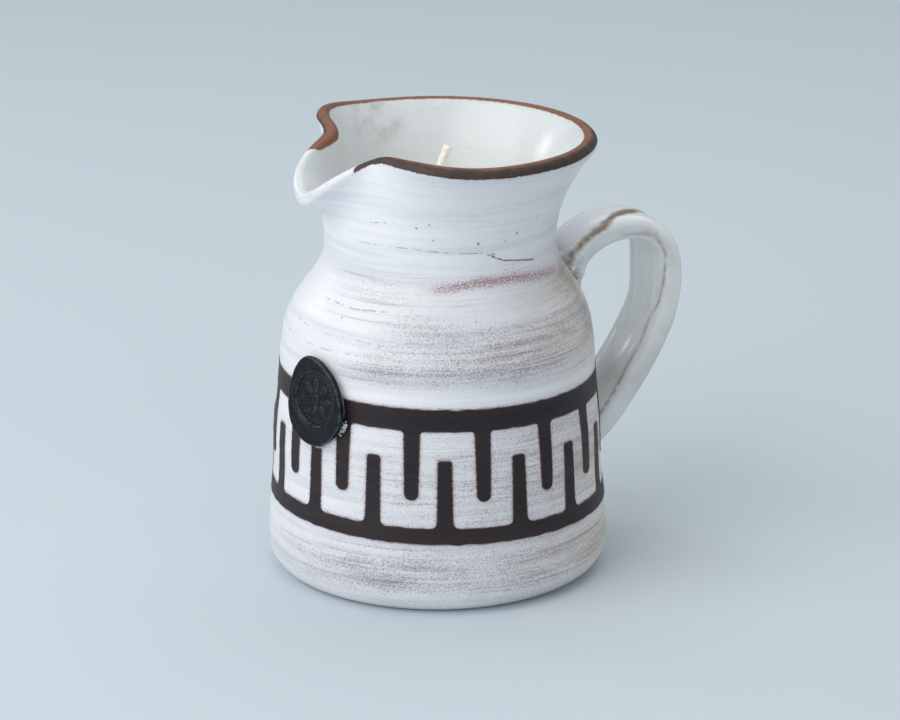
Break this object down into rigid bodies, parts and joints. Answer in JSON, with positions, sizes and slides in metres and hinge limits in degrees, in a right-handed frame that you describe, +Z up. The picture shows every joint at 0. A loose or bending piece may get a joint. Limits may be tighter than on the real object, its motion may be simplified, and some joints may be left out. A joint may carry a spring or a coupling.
{
  "type": "oinochoe jug",
  "caption": "Wheel-thrown ceramic pouring jug with a pinched, dipped spout, a flared neck, a strap handle, a slip meander band and a pressed seal, filled with wax and a wick.",
  "frame": {"origin": "centre of the flat underside of the foot", "axes": "+Z up along the throwing axis, the spout towards -X, the handle towards +X"},
  "size_m": [0.1305, 0.1042, 0.1369],
  "materials": {
    "glaze": "glossy white glaze with grey speckle over dark clay",
    "slip": "satin dark iron slip",
    "seal_wax": "near-black satin sealing wax",
    "glue": "clear set glue",
    "candle": "smooth cream candle wax",
    "cotton": "braided cotton, waxed",
    "clip_metal": "pressed tinned sheet",
    "adhesive": "white foam adhesive"
  },
  "bodies": {
    "root": {"jug_body": "glaze", "handle": "glaze", "slip_comb_upper": "slip", "slip_comb_lower": "slip", "seal": "seal_wax", "seal_glue": "glue", "candle_wax": "candle", "wick": "cotton", "wick_clip": "clip_metal", "clip_sticker": "adhesive"}
  },
  "joints": []
}
